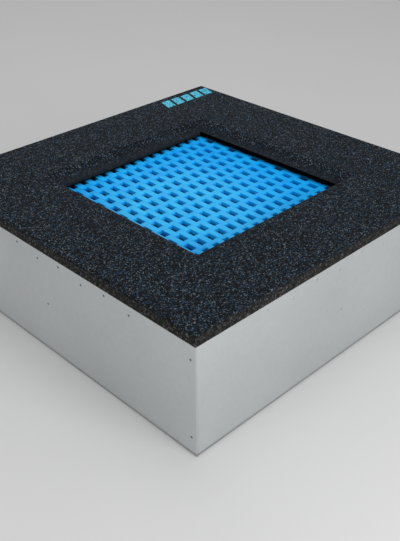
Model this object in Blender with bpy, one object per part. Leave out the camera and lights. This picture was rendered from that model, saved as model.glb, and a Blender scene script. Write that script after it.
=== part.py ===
"""Square in-ground trampoline: a sheet-metal box, a sprung mat of hinged links and a rubber surround.

Metres, +Z up. The origin is the middle of the underside. Seen from above, front is -Y, back is +Y,
left is -X and right is +X. The mat's rods run left to right, and its rows of links are counted
outwards from the middle rod, so each row hinges on the rod before it and carries the next rod.
"""

import math

import bmesh
import bpy
from mathutils import Matrix, Vector
from mathutils.geometry import tessellate_polygon

# Overall
SIDE = 1.200
PANEL_HEIGHT = 0.3527
GAP = 0.0003

# Side panels
PANEL_SHEET = 0.003
FOOT_FLANGE = 0.040
END_FLANGE = 0.035
END_FLANGE_FOOT = 0.012

# Rail that carries the deck and takes the pull of the springs
RAIL_SIZE = 0.035
RAIL_WALL = 0.003
STRIP_THICKNESS = 0.005
STRIP_REACH = 0.020
STRIP_EDGE = 0.008
STRIP_END = 0.022
GUSSET_LEG = 0.110
GUSSET_SHEET = 0.004

# Mid-side posts between the foot flange and the rail
POST_WIDTH = 0.040
POST_DEPTH = 0.030
POST_WALL = 0.003
POST_OFFSET = -0.018

# Deck plates
DECK_SHEET = 0.003
RIB_THICKNESS = 0.005
RIB_SETBACK = 0.040
RIB_MARGIN = 0.020

# Rubber surround
OPENING = 0.3126
RUBBER_THICKNESS = 0.040
WEAR_LAYER = 0.010
DISH_DEPTH = 0.0345
HEM_WIDTH = 0.008
HEM_CLEARANCE = 0.0035
EDGE_CHAMFER = 0.0015

# Mat
COLUMN_PITCH = 0.0213
ROW_PITCH = 0.055
OUTER_COLUMN = 15
ROWS_EACH_WAY = 6
MAT_DEPTH = 0.048
MAT_SHIFT = 0.005
LINK_THICKNESS = 0.014
LINK_OVERHANG = 0.0105
END_OVERHANG = 0.008
LINK_CHAMFER = 0.004
ROD_DIAMETER = 0.008
ROD_FACETS = 5
COLLAR_DIAMETER = 0.014
COLLAR_LENGTH = 0.004
EYE_WIDTH = 0.018
EYE_THICKNESS = 0.010
EYE_HOLE = 0.008
EYE_ROOT = 0.004
EYE_BAR = 0.008

# Springs
WIRE_DIAMETER = 0.003
COIL_DIAMETER = 0.022
COIL_SETBACK = 0.021
COIL_SHOULDER = 0.0015
WIRE_FACETS = 6
SPRUNG_RODS = (-5, -3, -1, 1, 3, 5)
FRONT_SPRING_COLUMNS = (-10, -4, 4, 10)
BACK_SPRING_COLUMNS = (-9, -3, 3, 9)

# Levels, from the ground up
DECK_TOP = PANEL_HEIGHT
DECK_BOTTOM = DECK_TOP - DECK_SHEET
RAIL_TOP = DECK_BOTTOM - GAP
RAIL_BOTTOM = RAIL_TOP - RAIL_SIZE
GUSSET_TOP = RAIL_BOTTOM - GAP
RUBBER_BOTTOM = DECK_TOP + GAP
RUBBER_TOP = RUBBER_BOTTOM + RUBBER_THICKNESS
LIP_LEVEL = RUBBER_TOP - DISH_DEPTH
ROD_LEVEL = RUBBER_TOP - MAT_DEPTH - LINK_THICKNESS / 2
HEM_BOTTOM = ROD_LEVEL + LINK_THICKNESS / 2 + HEM_CLEARANCE
STRIP_BOTTOM = ROD_LEVEL - STRIP_THICKNESS / 2
STRIP_TOP = ROD_LEVEL + STRIP_THICKNESS / 2

# Distances out from the middle, as is OPENING at the lip
HALF = SIDE / 2
PANEL_INNER = HALF - PANEL_SHEET
RAIL_OUTER = PANEL_INNER - GAP
RAIL_INNER = RAIL_OUTER - RAIL_SIZE
STRIP_INNER = RAIL_INNER - STRIP_REACH
STRIP_BAR = STRIP_INNER + STRIP_EDGE / 2
MAT_HALF = (OUTER_COLUMN + 0.5) * COLUMN_PITCH
DECK_INNER = OPENING + HEM_WIDTH + GAP
EYE_START = MAT_HALF + GAP
EYE_END = EYE_START + EYE_ROOT + EYE_HOLE + EYE_BAR
EYE_BAR_MIDDLE = EYE_END - EYE_BAR / 2
EDGE_ROD = ROWS_EACH_WAY * ROW_PITCH
MAT_REACH = max(EDGE_ROD + END_OVERHANG, EYE_END)

QUARTER_TURN = math.pi / 2
SIDES = {"front": 0, "right": 1, "back": 2, "left": 3}


def material(name, colour, roughness, metallic=0.0):
    """A Principled material, which is also the object's colour in the solid view."""
    made = bpy.data.materials.new(name)
    made.use_nodes = True
    shader = made.node_tree.nodes["Principled BSDF"]
    shader.inputs["Base Color"].default_value = (*colour, 1.0)
    shader.inputs["Roughness"].default_value = roughness
    shader.inputs["Metallic"].default_value = metallic
    made.diffuse_color = (*colour, 1.0)
    return made


def add_object(name, mesh, finish):
    """An object of its own for one piece."""
    mesh.materials.clear()
    mesh.materials.append(finish)
    piece = bpy.data.objects.new(name, mesh)
    bpy.context.scene.collection.objects.link(piece)
    return piece


def mesh_from(build):
    """The bmesh as a mesh, with every face turned outwards."""
    bmesh.ops.recalc_face_normals(build, faces=build.faces)
    mesh = bpy.data.meshes.new("piece")
    build.to_mesh(mesh)
    build.free()
    return mesh


def add_loop(build, points):
    """New vertices at the points."""
    return [build.verts.new(point) for point in points]


def skin(build, first, second):
    """Quads between two loops of as many vertices."""
    count = len(first)
    for i in range(count):
        j = (i + 1) % count
        build.faces.new((first[i], first[j], second[j], second[i]))


def cap(build, *loops):
    """Triangles over the outer loop and round the loops inside it."""
    verts = [vert for loop in loops for vert in loop]
    triangles = tessellate_polygon([[vert.co for vert in loop] for loop in loops])
    for triangle in triangles:
        build.faces.new([verts[i] for i in triangle])


def plate(outline, low, high, holes=()):
    """A flat plate from its outline in plan, with holes, between two levels."""
    build = bmesh.new()
    levels = []
    for level in (low, high):
        loops = [add_loop(build, [(x, y, level) for x, y in loop]) for loop in (outline, *holes)]
        cap(build, *loops)
        levels.append(loops)
    for lower, upper in zip(*levels):
        skin(build, lower, upper)
    return mesh_from(build)


def box(low, high):
    """A block between two corners."""
    outline = [(low[0], low[1]), (high[0], low[1]), (high[0], high[1]), (low[0], high[1])]
    return plate(outline, low[2], high[2])


def rectangle(across, level, half_across, half_level):
    """A section with square corners, as (distance from the middle, level)."""
    return [
        (across - half_across, level - half_level),
        (across + half_across, level - half_level),
        (across + half_across, level + half_level),
        (across - half_across, level + half_level),
    ]


def mitred_length(*sections):
    """A front length of a square frame, cut at 45 degrees at both ends. Later sections are its bore."""
    build = bmesh.new()
    ends = []
    for hand in (-1, 1):
        loops = [
            add_loop(build, [(hand * (out - GAP), -out, level) for out, level in section])
            for section in sections
        ]
        cap(build, *loops)
        ends.append(loops)
    for left, right in zip(*ends):
        skin(build, left, right)
    return mesh_from(build)


def square_ring(section):
    """A closed square ring of one section, as (distance from the middle, level)."""
    build = bmesh.new()
    corners = ((-1, -1), (1, -1), (1, 1), (-1, 1))
    loops = [
        add_loop(build, [(x * out, y * out, level) for out, level in section])
        for x, y in corners
    ]
    for i, loop in enumerate(loops):
        skin(build, loop, loops[(i + 1) % len(loops)])
    return mesh_from(build)


def welded(name, meshes, finish):
    """One object of overlapping shapes, as welded or folded from one piece."""
    piece = add_object(name, meshes[0], finish)
    helpers = []
    for mesh in meshes[1:]:
        helper = add_object(name + "_helper", mesh, finish)
        union = piece.modifiers.new("Weld", "BOOLEAN")
        union.operation = "UNION"
        union.solver = "EXACT"
        union.object = helper
        helpers.append(helper)
    graph = bpy.context.evaluated_depsgraph_get()
    joined = bpy.data.meshes.new_from_object(piece.evaluated_get(graph))
    piece.modifiers.clear()
    piece.data = joined
    for helper in helpers:
        bpy.data.objects.remove(helper)
    return piece


def turn_to_side(piece, side):
    """Turns a piece that was modelled at the front to its own side of the square."""
    piece.rotation_euler = (0, 0, SIDES[side] * QUARTER_TURN)
    return piece


def shade_round(piece):
    """Smooth shading on a round piece, with its edges kept sharp."""
    piece.data.shade_smooth()
    piece.data.set_sharp_from_angle(angle=math.radians(50))


def rod_place(number):
    """Where a rod of the mat lies along Y. The mat hangs a little towards the back."""
    return number * ROW_PITCH + MAT_SHIFT


def spring_places(side):
    """Where the springs of a side stand along it, left to right as seen from outside."""
    if side in ("front", "back"):
        columns = FRONT_SPRING_COLUMNS if side == "front" else BACK_SPRING_COLUMNS
        return [column * COLUMN_PITCH for column in columns]
    return [rod_place(rod) for rod in SPRUNG_RODS]


def side_panel(side, finish):
    """A folded panel: its wall, a foot flange turned in, and an end flange behind its neighbour."""
    start = -PANEL_INNER + GAP
    overlap = PANEL_SHEET / 2
    wall = box((start, -HALF, 0), (HALF, -PANEL_INNER, PANEL_HEIGHT))
    foot_inner = HALF - FOOT_FLANGE
    foot = plate(
        [
            (start, -HALF + overlap),
            (-start, -HALF + overlap),
            (-start, -PANEL_INNER),
            (foot_inner - GAP, -foot_inner),
            (GAP - foot_inner, -foot_inner),
            (start, -PANEL_INNER),
        ],
        0,
        PANEL_SHEET,
    )
    end = box(
        (start, -HALF + overlap, END_FLANGE_FOOT),
        (start + PANEL_SHEET, -HALF + END_FLANGE, GUSSET_TOP),
    )
    return turn_to_side(welded("panel_" + side, [wall, foot, end], finish), side)


def rail(side, finish):
    """A mitred square tube with the punched strip that the springs hook into."""
    middle = RAIL_OUTER - RAIL_SIZE / 2
    level = RAIL_TOP - RAIL_SIZE / 2
    outer = RAIL_SIZE / 2
    bore = outer - RAIL_WALL
    tube = mitred_length(
        rectangle(middle, level, outer, outer),
        rectangle(middle, level, bore, bore),
    )
    places = spring_places(side)
    reach = max(abs(place) for place in places) + STRIP_END
    buried = RAIL_INNER + RAIL_WALL / 2
    strip_outline = [(-reach, -buried), (reach, -buried), (reach, -STRIP_INNER), (-reach, -STRIP_INNER)]
    hole_inner = STRIP_INNER + STRIP_EDGE
    half_hole = EYE_HOLE / 2
    holes = [
        [
            (place - half_hole, -hole_inner - EYE_HOLE),
            (place + half_hole, -hole_inner - EYE_HOLE),
            (place + half_hole, -hole_inner),
            (place - half_hole, -hole_inner),
        ]
        for place in strip_order(side, places)
    ]
    strip = plate(strip_outline, STRIP_BOTTOM, STRIP_TOP, holes)
    return turn_to_side(welded("rail_" + side, [tube, strip], finish), side)


def strip_order(side, places):
    """The places along a side as they fall before the side is turned from the front."""
    turned = side in ("back", "left")
    return [-place if turned else place for place in places]


def deck_plate(side, finish):
    """A mitred deck plate with the ribs that stiffen it between the springs."""
    half_width = (RAIL_OUTER - DECK_INNER) / 2
    level = (DECK_TOP + DECK_BOTTOM) / 2
    sheet = mitred_length(rectangle(DECK_INNER + half_width, level, half_width, DECK_SHEET / 2))
    last = max(abs(place) for place in spring_places(side))
    outer_rib = last + COIL_DIAMETER / 2 + RIB_MARGIN
    ribs = [
        box(
            (place - RIB_THICKNESS / 2, -RAIL_INNER + GAP, STRIP_TOP + GAP),
            (place + RIB_THICKNESS / 2, -MAT_REACH - RIB_SETBACK, DECK_BOTTOM + DECK_SHEET / 2),
        )
        for place in (-outer_rib, 0, outer_rib)
    ]
    return turn_to_side(welded("deck_" + side, [sheet, *ribs], finish), side)


def corner_gusset(name, turns, finish):
    """A triangular plate under the rails where two of them meet."""
    corner = PANEL_INNER - GAP - PANEL_SHEET - GAP
    outline = [(-corner, -corner), (GUSSET_LEG - corner, -corner), (-corner, GUSSET_LEG - corner)]
    piece = add_object(name, plate(outline, GUSSET_TOP - GUSSET_SHEET, GUSSET_TOP), finish)
    piece.rotation_euler = (0, 0, turns * QUARTER_TURN)
    return piece


def mid_post(side, finish):
    """A channel that stands on the foot flange behind the middle of a panel and props the rail."""
    left = POST_OFFSET - POST_WIDTH / 2
    right = POST_OFFSET + POST_WIDTH / 2
    outer = -RAIL_OUTER
    inner = outer + POST_DEPTH
    outline = [
        (left, outer),
        (right, outer),
        (right, inner),
        (right - POST_WALL, inner),
        (right - POST_WALL, outer + POST_WALL),
        (left + POST_WALL, outer + POST_WALL),
        (left + POST_WALL, inner),
        (left, inner),
    ]
    mesh = plate(outline, PANEL_SHEET + GAP, GUSSET_TOP)
    return turn_to_side(add_object("post_" + side, mesh, finish), side)


def rubber_wear_layer(finish):
    """The top layer: flat rim, 45 degree dish down to the lip, and a hem that hangs over the mat's edge."""
    dish_top = OPENING + DISH_DEPTH
    under = RUBBER_TOP - WEAR_LAYER + GAP
    slant = WEAR_LAYER * math.sqrt(2)
    hem_outer = OPENING + HEM_WIDTH
    section = [
        (HALF, under),
        (HALF, RUBBER_TOP - EDGE_CHAMFER),
        (HALF - EDGE_CHAMFER, RUBBER_TOP),
        (dish_top, RUBBER_TOP),
        (OPENING, LIP_LEVEL),
        (OPENING, HEM_BOTTOM),
        (hem_outer, HEM_BOTTOM),
        (hem_outer, RUBBER_BOTTOM),
        (OPENING + slant + RUBBER_BOTTOM - LIP_LEVEL, RUBBER_BOTTOM),
        (OPENING + slant + under - LIP_LEVEL, under),
    ]
    return add_object("rubber_wear_layer", square_ring(section), finish)


def rubber_base(finish):
    """The thick layer under it, cut back parallel to the dish."""
    top = RUBBER_TOP - WEAR_LAYER
    slant = (WEAR_LAYER + GAP) * math.sqrt(2)
    section = [
        (HALF, RUBBER_BOTTOM),
        (HALF, top),
        (OPENING + slant + top - LIP_LEVEL, top),
        (OPENING + slant + RUBBER_BOTTOM - LIP_LEVEL, RUBBER_BOTTOM),
    ]
    return add_object("rubber_base", square_ring(section), finish)


def round_section(x, y, diameter, facets=ROD_FACETS):
    """A ring of points across a rod that runs along X at the rods' level."""
    step = 2 * math.pi / facets
    return [
        (x, y + diameter / 2 * math.cos(i * step), ROD_LEVEL + diameter / 2 * math.sin(i * step))
        for i in range(facets)
    ]


def bore_diameter():
    """Across the corners of the bore that leaves the gap round a rod's flats."""
    return ROD_DIAMETER + 2 * GAP / math.cos(math.pi / ROD_FACETS)


def link_section(x, inner, outer, overhang):
    """A link's side view at x, from the rod that it hinges on past the rod that it carries."""
    outwards = 1 if outer > inner else -1
    start = inner - outwards * LINK_OVERHANG
    end = outer + outwards * overhang
    bottom = ROD_LEVEL - LINK_THICKNESS / 2
    top = ROD_LEVEL + LINK_THICKNESS / 2
    points = [
        (start, bottom),
        (end, bottom),
        (end, top - LINK_CHAMFER),
        (end - outwards * LINK_CHAMFER, top),
        (start + outwards * LINK_CHAMFER, top),
        (start, top - LINK_CHAMFER),
    ]
    return [(x, y, z) for y, z in points]


def rod_eye(build, rod, hand, y):
    """A flat eye at a rod's end, joined to the rod's last ring of vertices."""
    half_width = EYE_WIDTH / 2
    half_thickness = EYE_THICKNESS / 2
    half_hole = EYE_HOLE / 2
    hole_start = EYE_START + EYE_ROOT
    hole_end = hole_start + EYE_HOLE
    levels = []
    for z in (ROD_LEVEL - half_thickness, ROD_LEVEL + half_thickness):
        outline = add_loop(
            build,
            [
                (hand * EYE_START, y - half_width, z),
                (hand * EYE_END, y - half_width, z),
                (hand * EYE_END, y + half_width, z),
                (hand * EYE_START, y + half_width, z),
            ],
        )
        hole = add_loop(
            build,
            [
                (hand * hole_start, y - half_hole, z),
                (hand * hole_end, y - half_hole, z),
                (hand * hole_end, y + half_hole, z),
                (hand * hole_start, y + half_hole, z),
            ],
        )
        cap(build, outline, hole)
        levels.append((outline, hole))
    (low, low_hole), (high, high_hole) = levels
    skin(build, low_hole, high_hole)
    for i in range(3):
        build.faces.new((low[i], low[i + 1], high[i + 1], high[i]))
    cap(build, [low[3], low[0], high[0], high[3]], rod)


def rod_collar(build, rod, hand, y):
    """A collar at a rod's end that keeps the last link on."""
    start = hand * EYE_START
    face = add_loop(build, round_section(start, y, COLLAR_DIAMETER))
    end = add_loop(build, round_section(start + hand * COLLAR_LENGTH, y, COLLAR_DIAMETER))
    skin(build, rod, face)
    skin(build, face, end)
    build.faces.new(end)


def finish_rod(build, rod, hand, y, ending):
    """Ends a rod with an eye for a spring, a collar, or a plain face."""
    if ending == "eye":
        rod_eye(build, rod, hand, y)
    elif ending == "collar":
        rod_collar(build, rod, hand, y)
    else:
        build.faces.new(rod)


def middle_rod(finish):
    """The rod across the middle, which the first row on each side hinges on."""
    build = bmesh.new()
    y = rod_place(0)
    ends = [add_loop(build, round_section(hand * EYE_START, y, ROD_DIAMETER)) for hand in (-1, 1)]
    skin(build, *ends)
    for hand, end in zip((-1, 1), ends):
        finish_rod(build, end, hand, y, "collar")
    piece = add_object("mat_middle_rod", mesh_from(build), finish)
    shade_round(piece)
    return piece


def row_columns(number):
    """The columns that a row has links in: every second one, taking turns with the row before it."""
    parity = number % 2 if number > 0 else (number + 1) % 2
    return [c for c in range(-OUTER_COLUMN, OUTER_COLUMN + 1) if c % 2 == parity]


def mat_row(name, number, finish):
    """A row of links bored on one rod and fast on the next, counted out from the middle rod."""
    outwards = 1 if number > 0 else -1
    inner = rod_place(number - outwards)
    outer = rod_place(number)
    overhang = END_OVERHANG if abs(number) == ROWS_EACH_WAY else LINK_OVERHANG
    columns = row_columns(number)
    reaches_edge = columns[-1] == OUTER_COLUMN
    if number in SPRUNG_RODS:
        ending = "eye"
    elif reaches_edge:
        ending = "flush"
    elif abs(number) == ROWS_EACH_WAY:
        ending = "plain"
    else:
        ending = "collar"
    build = bmesh.new()
    half_link = (COLUMN_PITCH - GAP) / 2
    before = None
    for column in columns:
        middle = column * COLUMN_PITCH
        faces = []
        for x in (middle - half_link, middle + half_link):
            outline = add_loop(build, link_section(x, inner, outer, overhang))
            bore = add_loop(build, round_section(x, inner, bore_diameter()))
            at_edge = ending == "flush" and abs(x) > OUTER_COLUMN * COLUMN_PITCH
            rod = [] if at_edge else add_loop(build, round_section(x, outer, ROD_DIAMETER))
            cap(build, *[loop for loop in (outline, bore, rod) if loop])
            faces.append((outline, bore, rod))
        (left_outline, left_bore, left_rod), (right_outline, right_bore, right_rod) = faces
        skin(build, left_outline, right_outline)
        skin(build, left_bore, right_bore)
        if before:
            skin(build, before, left_rod)
        elif left_rod:
            end_row_rod(build, left_rod, -1, outer, ending)
        before = right_rod
    if before:
        end_row_rod(build, before, 1, outer, ending)
    return add_object(name, mesh_from(build), finish)


def end_row_rod(build, rod, hand, y, ending):
    """Carries a row's rod past its last link to the mat's edge and ends it there."""
    reach = MAT_HALF if ending == "plain" else EYE_START
    end = add_loop(build, round_section(hand * reach, y, ROD_DIAMETER))
    skin(build, rod, end)
    finish_rod(build, end, hand, y, ending)


def swept_wire(path):
    """A round tube along (distance, height, diameter) points in one upright plane, mitred at bends."""
    build = bmesh.new()
    rings = []
    step = 2 * math.pi / WIRE_FACETS
    for i, (along, height, diameter) in enumerate(path):
        here = Vector((along, height))
        into = (here - Vector(path[i - 1][:2])).normalized() if i else None
        out = (Vector(path[i + 1][:2]) - here).normalized() if i + 1 < len(path) else None
        same_size = 0 < i < len(path) - 1 and path[i - 1][2] == diameter == path[i + 1][2]
        if same_size:
            direction = (into + out).normalized()
            stretch = 1 / direction.dot(into)
        elif i == 0:
            direction, stretch = out, 1
        elif i == len(path) - 1:
            direction, stretch = into, 1
        else:
            direction, stretch = Vector((1, 0)), 1
        across = Vector((-direction.y, direction.x)) * stretch
        ring = []
        for k in range(WIRE_FACETS):
            side = diameter / 2 * math.cos(k * step)
            up = diameter / 2 * math.sin(k * step)
            point = here + across * up
            ring.append(build.verts.new((point.x, side, point.y)))
        rings.append(ring)
    for first, second in zip(rings, rings[1:]):
        skin(build, first, second)
    build.faces.new(rings[0])
    build.faces.new(rings[-1])
    return mesh_from(build)


def spring(name, place, side, mat_bar, bar_width, bar_height, finish):
    """A close-wound tension spring, hooked over a bar of the mat and through the rail's strip."""
    span = STRIP_BAR - mat_bar
    past = GAP + WIRE_DIAMETER / 2
    mat_hook = bar_width / 2 + past
    mat_over = bar_height / 2 + past
    rail_hook = span + STRIP_EDGE / 2 + past
    rail_over = STRIP_THICKNESS / 2 + past
    path = [
        (-mat_hook, -bar_height / 2, WIRE_DIAMETER),
        (-mat_hook, mat_over, WIRE_DIAMETER),
        (COIL_SETBACK - COIL_SHOULDER, mat_over, WIRE_DIAMETER),
        (COIL_SETBACK, 0, COIL_DIAMETER),
        (span - COIL_SETBACK, 0, COIL_DIAMETER),
        (span - COIL_SETBACK + COIL_SHOULDER, rail_over, WIRE_DIAMETER),
        (rail_hook, rail_over, WIRE_DIAMETER),
        (rail_hook, -STRIP_THICKNESS / 2, WIRE_DIAMETER),
    ]
    mesh = swept_wire(path)
    outwards = {"front": -QUARTER_TURN, "right": 0, "back": QUARTER_TURN, "left": math.pi}[side]
    turn = Matrix.Rotation(outwards, 4, "Z")
    along = Vector((place, 0, 0)) if side in ("front", "back") else Vector((0, place, 0))
    origin = turn @ Vector((mat_bar, 0, 0)) + along + Vector((0, 0, ROD_LEVEL))
    piece = add_object(name, mesh, finish)
    piece.location = origin
    piece.rotation_euler = (0, 0, outwards)
    shade_round(piece)
    return piece


def move_origin(piece, point):
    """Puts a piece's origin on its joint's axis and leaves its shape where it is."""
    piece.data.transform(Matrix.Translation(-Vector(point)))
    piece.location = point


def build_box(steel, zinc):
    """The fixed sheet-metal box with its rails, posts, gussets and deck."""
    for side in SIDES:
        side_panel(side, zinc)
        rail(side, steel)
        deck_plate(side, steel)
        mid_post(side, steel)
    corners = ("front_left", "front_right", "back_right", "back_left")
    for turns, corner in enumerate(corners):
        corner_gusset("gusset_" + corner, turns, steel)


def build_mat(plastic, steel):
    """The middle rod, with a chain of rows to the front and one to the back."""
    middle = middle_rod(steel)
    move_origin(middle, (0, rod_place(0), ROD_LEVEL))
    for word, outwards in (("front", -1), ("back", 1)):
        parent = middle
        for count in range(1, ROWS_EACH_WAY + 1):
            row = mat_row(f"mat_row_{word}_{count}", outwards * count, plastic)
            hinge = (0, rod_place(outwards * (count - 1)), ROD_LEVEL)
            move_origin(row, hinge)
            row.parent = parent
            row.matrix_parent_inverse = Matrix.Translation(-parent_place(parent))
            parent = row


def parent_place(piece):
    """A mat piece's place in the world, which only moves its hinge line."""
    return piece.location.copy()


def build_springs(steel):
    """Springs from the rods' eyes to the side rails, and from the edge rods to the end rails."""
    for side in ("left", "right"):
        for count, place in enumerate(spring_places(side), 1):
            spring(f"spring_{side}_{count}", place, side, EYE_BAR_MIDDLE, EYE_BAR, EYE_THICKNESS, steel)
    for side, last_rod in (("front", -ROWS_EACH_WAY), ("back", ROWS_EACH_WAY)):
        bar = abs(rod_place(last_rod))
        for count, place in enumerate(spring_places(side), 1):
            spring(f"spring_{side}_{count}", place, side, bar, ROD_DIAMETER, ROD_DIAMETER, steel)


def main():
    for leftover in list(bpy.data.objects):
        bpy.data.objects.remove(leftover)
    zinc = material("panel_zinc", (0.62, 0.64, 0.64), 0.45, 0.8)
    steel = material("frame_steel", (0.45, 0.46, 0.47), 0.4, 0.9)
    spring_steel = material("spring_steel", (0.55, 0.56, 0.58), 0.3, 1.0)
    plastic = material("mat_plastic", (0.02, 0.40, 0.95), 0.45)
    wear = material("rubber_wear", (0.017, 0.018, 0.02), 0.85)
    base = material("rubber_base", (0.03, 0.026, 0.024), 0.9)
    build_box(steel, zinc)
    rubber_base(base)
    rubber_wear_layer(wear)
    build_mat(plastic, spring_steel)
    build_springs(spring_steel)


main()
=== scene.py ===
"""Looks of a square in-ground trampoline: zinc box, rubber surround, linked mat and springs."""

import math

import bmesh
import bpy
import numpy as np
from mathutils import Matrix, Vector


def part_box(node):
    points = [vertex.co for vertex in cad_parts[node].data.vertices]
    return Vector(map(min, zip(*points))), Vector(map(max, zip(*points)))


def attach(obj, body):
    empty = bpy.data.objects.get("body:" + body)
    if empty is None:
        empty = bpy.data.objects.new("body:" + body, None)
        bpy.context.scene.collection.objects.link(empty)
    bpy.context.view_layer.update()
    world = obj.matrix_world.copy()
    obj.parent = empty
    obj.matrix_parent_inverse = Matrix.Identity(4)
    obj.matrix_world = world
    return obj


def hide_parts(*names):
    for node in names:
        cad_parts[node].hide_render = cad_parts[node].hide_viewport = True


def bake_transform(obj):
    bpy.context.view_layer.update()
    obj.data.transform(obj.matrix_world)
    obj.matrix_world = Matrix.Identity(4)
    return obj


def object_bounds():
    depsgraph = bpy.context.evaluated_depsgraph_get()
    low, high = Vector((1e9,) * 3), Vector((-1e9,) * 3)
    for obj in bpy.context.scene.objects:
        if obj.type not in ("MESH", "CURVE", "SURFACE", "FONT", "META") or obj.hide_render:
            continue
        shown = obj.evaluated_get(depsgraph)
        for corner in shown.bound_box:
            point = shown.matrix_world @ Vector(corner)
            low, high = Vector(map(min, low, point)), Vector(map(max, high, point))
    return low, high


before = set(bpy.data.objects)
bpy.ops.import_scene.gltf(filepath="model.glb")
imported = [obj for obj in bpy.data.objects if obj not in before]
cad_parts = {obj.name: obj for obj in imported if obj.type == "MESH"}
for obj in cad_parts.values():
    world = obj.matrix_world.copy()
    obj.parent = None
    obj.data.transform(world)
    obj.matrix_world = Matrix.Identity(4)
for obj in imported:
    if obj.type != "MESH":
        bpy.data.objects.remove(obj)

cad_low, cad_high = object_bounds()


# Side panels
# Four zinc-coated sheets, 3 mm thick. Each is folded in at its foot and at its left end, and its
# right end runs past its neighbour's fold. The folds have a small radius, and cut edges are eased.

SIDES = {"front": 0, "right": 1, "back": 2, "left": 3}
QUARTER_TURN = math.pi / 2
HALF_SIDE = cad_high.x
FOLD_RADIUS = 0.005
FOLD_STEPS = 6
CUT_EDGE = 0.00035
EDGE_SEGMENTS = 2
FLAT_WEIGHT = 100
MERGE_DISTANCE = 0.00001
FLAT_ANGLE = math.radians(0.5)
SHARP_ANGLE = math.radians(30)
ZINC_METALLIC = 0.85
SPANGLE_SHARE = 0.12
GREY_LOW = 0.35
GREY_HIGH = 0.75
ROLLING_STRETCH = (9.0, 9.0, 1400.0)
ROLLING_RANGE = (0.2, 0.8)
ROLLING_DEPTH = 0.0002
SHEET_GLOSS_SPREAD = 0.05
# Width of two painted bands: contact shadow at the foot, and highlight on the front side.
PAINTED_BAND_WIDTH = 0.012
# Share of the grey left at the very foot, as painted contact shadow.
FOOT_SHADE_SHARE = 0.6


def set_inputs(tree, node, inputs):
    """Sets a node's inputs to values, or joins them to other nodes' outputs."""
    for key, value in inputs.items():
        if isinstance(value, bpy.types.NodeSocket):
            tree.links.new(value, node.inputs[key])
        else:
            node.inputs[key].default_value = value


def add_node(tree, kind, inputs=None, **settings):
    """A new node with its settings and its inputs."""
    made = tree.nodes.new(kind)
    for name, value in settings.items():
        setattr(made, name, value)
    set_inputs(tree, made, inputs or {})
    return made


def blank_finish(name):
    """A new material with its tree, its shader and the place of each point on the object."""
    finish = bpy.data.materials.new(name)
    finish.use_nodes = True
    tree = finish.node_tree
    place = tree.nodes.new("ShaderNodeTexCoord").outputs["Object"]
    return finish, tree, tree.nodes["Principled BSDF"], place


def colour_ramp(tree, factor, stops, interpolation="LINEAR"):
    """The colour that a factor picks between (position, colour) stops."""
    made = add_node(tree, "ShaderNodeValToRGB", {"Fac": factor})
    ramp = made.color_ramp
    ramp.interpolation = interpolation
    while len(ramp.elements) < len(stops):
        ramp.elements.new(1.0)
    for element, (position, colour) in zip(ramp.elements, stops):
        element.position = position
        element.color = (*colour, 1.0)
    return made.outputs["Color"]


def reckon(tree, operation, *values):
    """One number worked out from others."""
    made = add_node(tree, "ShaderNodeMath", dict(enumerate(values)), operation=operation)
    return made.outputs[0]


def reckon_vector(tree, operation, *values, output=0):
    """A vector or a colour worked out from others, or a number where the output gives one."""
    made = add_node(tree, "ShaderNodeVectorMath", dict(enumerate(values)), operation=operation)
    return made.outputs[output]


def value_range(tree, value, low, high, new_low, new_high):
    """A value carried from one range to another."""
    inputs = {"Value": value, 1: low, 2: high, 3: new_low, 4: new_high}
    return add_node(tree, "ShaderNodeMapRange", inputs).outputs["Result"]


def noise(tree, place, scale, detail, output="Fac"):
    """Random clouds, as a number or as a colour."""
    inputs = {"Vector": place, "Scale": scale, "Detail": detail}
    return add_node(tree, "ShaderNodeTexNoise", inputs).outputs[output]


def random_cells(tree, place, scale):
    """Cells round scattered points: three random numbers each, and the distance to the point."""
    made = add_node(tree, "ShaderNodeTexVoronoi", {"Vector": place, "Scale": scale})
    dice = add_node(tree, "ShaderNodeSeparateColor", {"Color": made.outputs["Color"]})
    return dice.outputs, made.outputs["Distance"]


def relief(tree, height, strength, distance):
    """Normals that show a height's rise and fall."""
    inputs = {"Height": height, "Strength": strength, "Distance": distance}
    return add_node(tree, "ShaderNodeBump", inputs).outputs[0]


def sheet_finish(name, dark, light, roughness, grain, front=1.0):
    """Zinc-coated metal: grey clouds, faint spangle, fine rolling lines and a painted shadow at its
    foot.

    On the box's front side its grey is multiplied by front, as a painted highlight.
    """
    finish, tree, shader, place = blank_finish(name)
    clouds = noise(tree, place, scale=2.2, detail=3.0)
    crystals = random_cells(tree, place, scale=90.0)[0]
    tone = reckon(tree, "MULTIPLY_ADD", crystals[0], SPANGLE_SHARE, clouds)
    grey = colour_ramp(tree, tone, [(GREY_LOW, dark), (GREY_HIGH, light)])
    along, level = add_node(tree, "ShaderNodeSeparateXYZ", {0: place}).outputs[1:]
    # Painted contact shadow: the grey darkens over the lowest 12 mm, where the sheet meets the
    # floor.
    painted_foot_shade = value_range(tree, level, PAINTED_BAND_WIDTH / 2, PAINTED_BAND_WIDTH, FOOT_SHADE_SHARE, 1.0)
    # Painted highlight: within 12 mm of the front face the grey is multiplied by front.
    side = value_range(tree, along, -HALF_SIDE, -HALF_SIDE + PAINTED_BAND_WIDTH, front, 1.0)
    stretched = add_node(tree, "ShaderNodeMapping", {"Vector": place, "Scale": ROLLING_STRETCH})
    lines = noise(tree, stretched.outputs[0], scale=1.0, detail=2.0)
    low = roughness - SHEET_GLOSS_SPREAD
    high = roughness + SHEET_GLOSS_SPREAD
    inputs = {
        "Metallic": ZINC_METALLIC,
        "Base Color": reckon_vector(tree, "MULTIPLY", grey, reckon(tree, "MULTIPLY", painted_foot_shade, side)),
        "Roughness": value_range(tree, lines, *ROLLING_RANGE, low, high),
        "Normal": relief(tree, lines, grain, ROLLING_DEPTH),
    }
    set_inputs(tree, shader, inputs)
    return finish


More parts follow.
